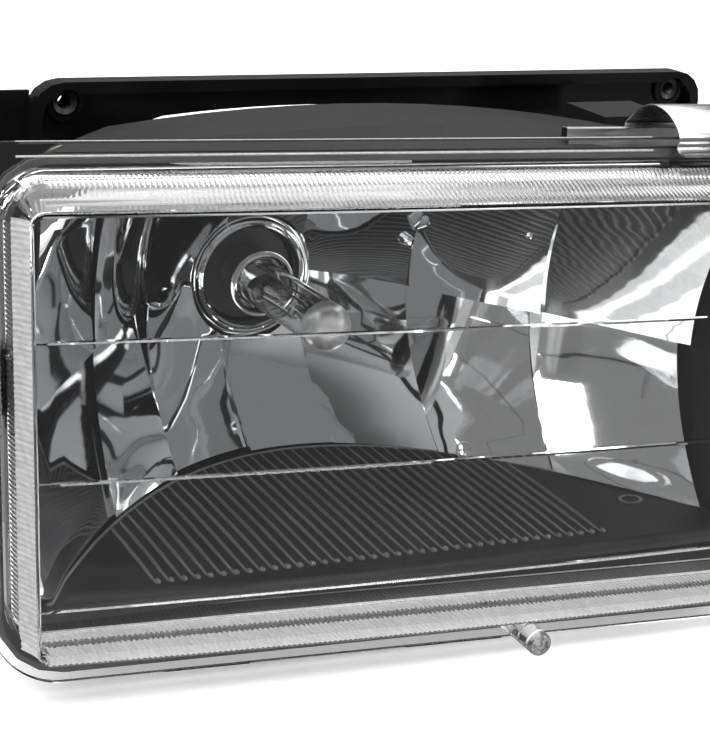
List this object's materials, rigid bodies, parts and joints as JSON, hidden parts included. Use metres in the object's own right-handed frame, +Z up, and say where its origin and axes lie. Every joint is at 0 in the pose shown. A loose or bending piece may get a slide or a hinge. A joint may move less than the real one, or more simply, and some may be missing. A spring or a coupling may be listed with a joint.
{
  "type": "car headlight",
  "caption": "Composite car headlamp: clear ribbed tub lens, multi-facet reflector, black bezel and bulb in an arched housing, aimed by screws on a mounting panel.",
  "frame": {"origin": "centre of the base of the bounding box, level with the skid ribs the lamp stands on", "axes": "+X to the right as seen from in front, -Y the way the light goes, +Z up"},
  "size_m": [0.2722, 0.2118, 0.1513],
  "materials": {
    "clear_lens": "clear moulded polycarbonate, ribbed walls",
    "bulb_glass": "clear quartz glass",
    "reflector_chrome": "vacuum-metallised",
    "housing_black": "satin black moulding",
    "bezel_black": "satin black moulding",
    "panel_black": "gloss black moulding",
    "rubber": "matt black",
    "steel": "bright stainless or zinc-plated steel",
    "nylon": "natural nylon",
    "bulb_base_grey": "dark grey heat-resistant plastic",
    "terminal": "tinned brass blades",
    "filament_wire": "tungsten and molybdenum wire"
  },
  "bodies": {
    "lamp": {"housing": "housing_black", "lens": "clear_lens", "lens_gasket": "rubber", "reflector": "reflector_chrome", "reflector_screw_1": "steel", "reflector_screw_2": "steel", "reflector_screw_3": "steel", "bezel": "bezel_black", "neck_seal": "rubber", "vent_cap": "rubber", "pivot_ball_stud": "steel", "vertical_adjuster_socket": "nylon", "horizontal_adjuster_socket": "nylon"},
    "bulb": {"bulb_base": "bulb_base_grey", "bulb_capsule": "bulb_glass", "bulb_collar": "steel", "bulb_o_ring": "rubber", "low_beam_filament": "filament_wire", "high_beam_filament": "filament_wire", "low_beam_lead": "filament_wire", "common_lead": "filament_wire", "high_beam_lead": "filament_wire", "bulb_terminal_1": "terminal", "bulb_terminal_2": "terminal", "bulb_terminal_3": "terminal"},
    "ring": {"retaining_ring": "bulb_base_grey"},
    "clip_top": {"lens_clip_top": "steel"},
    "clip_left": {"lens_clip_left": "steel"},
    "clip_right": {"lens_clip_right": "steel"},
    "vertical_screw": {"vertical_adjuster_screw": "steel"},
    "horizontal_screw": {"horizontal_adjuster_screw": "steel"},
    "pivot": {"pivot_socket": "nylon"},
    "panel": {"mounting_panel": "panel_black", "mount_bush_top_left": "steel", "mount_bush_top_right": "steel", "mount_bush_bottom_left": "steel", "mount_bush_bottom_right": "steel", "vertical_adjuster_nut": "nylon", "horizontal_adjuster_nut": "nylon"}
  },
  "joints": [
    {"name": "aim_horizontal", "type": "hinge", "parent": "lamp", "child": "pivot", "pos_m": [-0.08491, 0.02492, 0.12], "axis": [0, 0, 1], "range_deg": [-2, 2]},
    {"name": "aim_vertical", "type": "hinge", "parent": "pivot", "child": "panel", "pos_m": [-0.08491, 0.02492, 0.12], "axis": [1, 0, 0], "range_deg": [-2, 2]},
    {"name": "vertical_screw_turn", "type": "hinge", "parent": "lamp", "child": "vertical_screw", "pos_m": [-0.08491, 0.00892, 0.03], "axis": [0, 1, 0], "range_deg": [-380, 380]},
    {"name": "horizontal_screw_turn", "type": "hinge", "parent": "lamp", "child": "horizontal_screw", "pos_m": [0.08609, -0.01108, 0.12], "axis": [0, 1, 0], "range_deg": [-720, 720]},
    {"name": "bulb_withdraw", "type": "slide", "parent": "lamp", "child": "bulb", "axis": [0, 1, 0], "range_m": [0, 0.09]},
    {"name": "retaining_ring_twist", "type": "hinge", "parent": "bulb", "child": "ring", "pos_m": [-0.01191, 0.06992, 0.075], "axis": [0, 1, 0], "range_deg": [0, 30]},
    {"name": "top_clip_release", "type": "hinge", "parent": "lamp", "child": "clip_top", "pos_m": [0.07779, -0.03807, 0.13874], "axis": [-0.994, 0.1097, 0], "range_deg": [0, 45]},
    {"name": "left_clip_release", "type": "hinge", "parent": "lamp", "child": "clip_left", "pos_m": [-0.12342, -0.02527, 0.07967], "axis": [-0.0172, -0.1555, -0.9877], "range_deg": [0, 60]},
    {"name": "right_clip_release", "type": "hinge", "parent": "lamp", "child": "clip_right", "pos_m": [0.10996, -0.05104, 0.07967], "axis": [0.0172, 0.1555, 0.9877], "range_deg": [0, 60]}
  ],
  "couplings": [
    {"joint": "vertical_screw_turn", "follows": "aim_vertical", "ratio": -188.5},
    {"joint": "horizontal_screw_turn", "follows": "aim_horizontal", "ratio": -358.14}
  ]
}
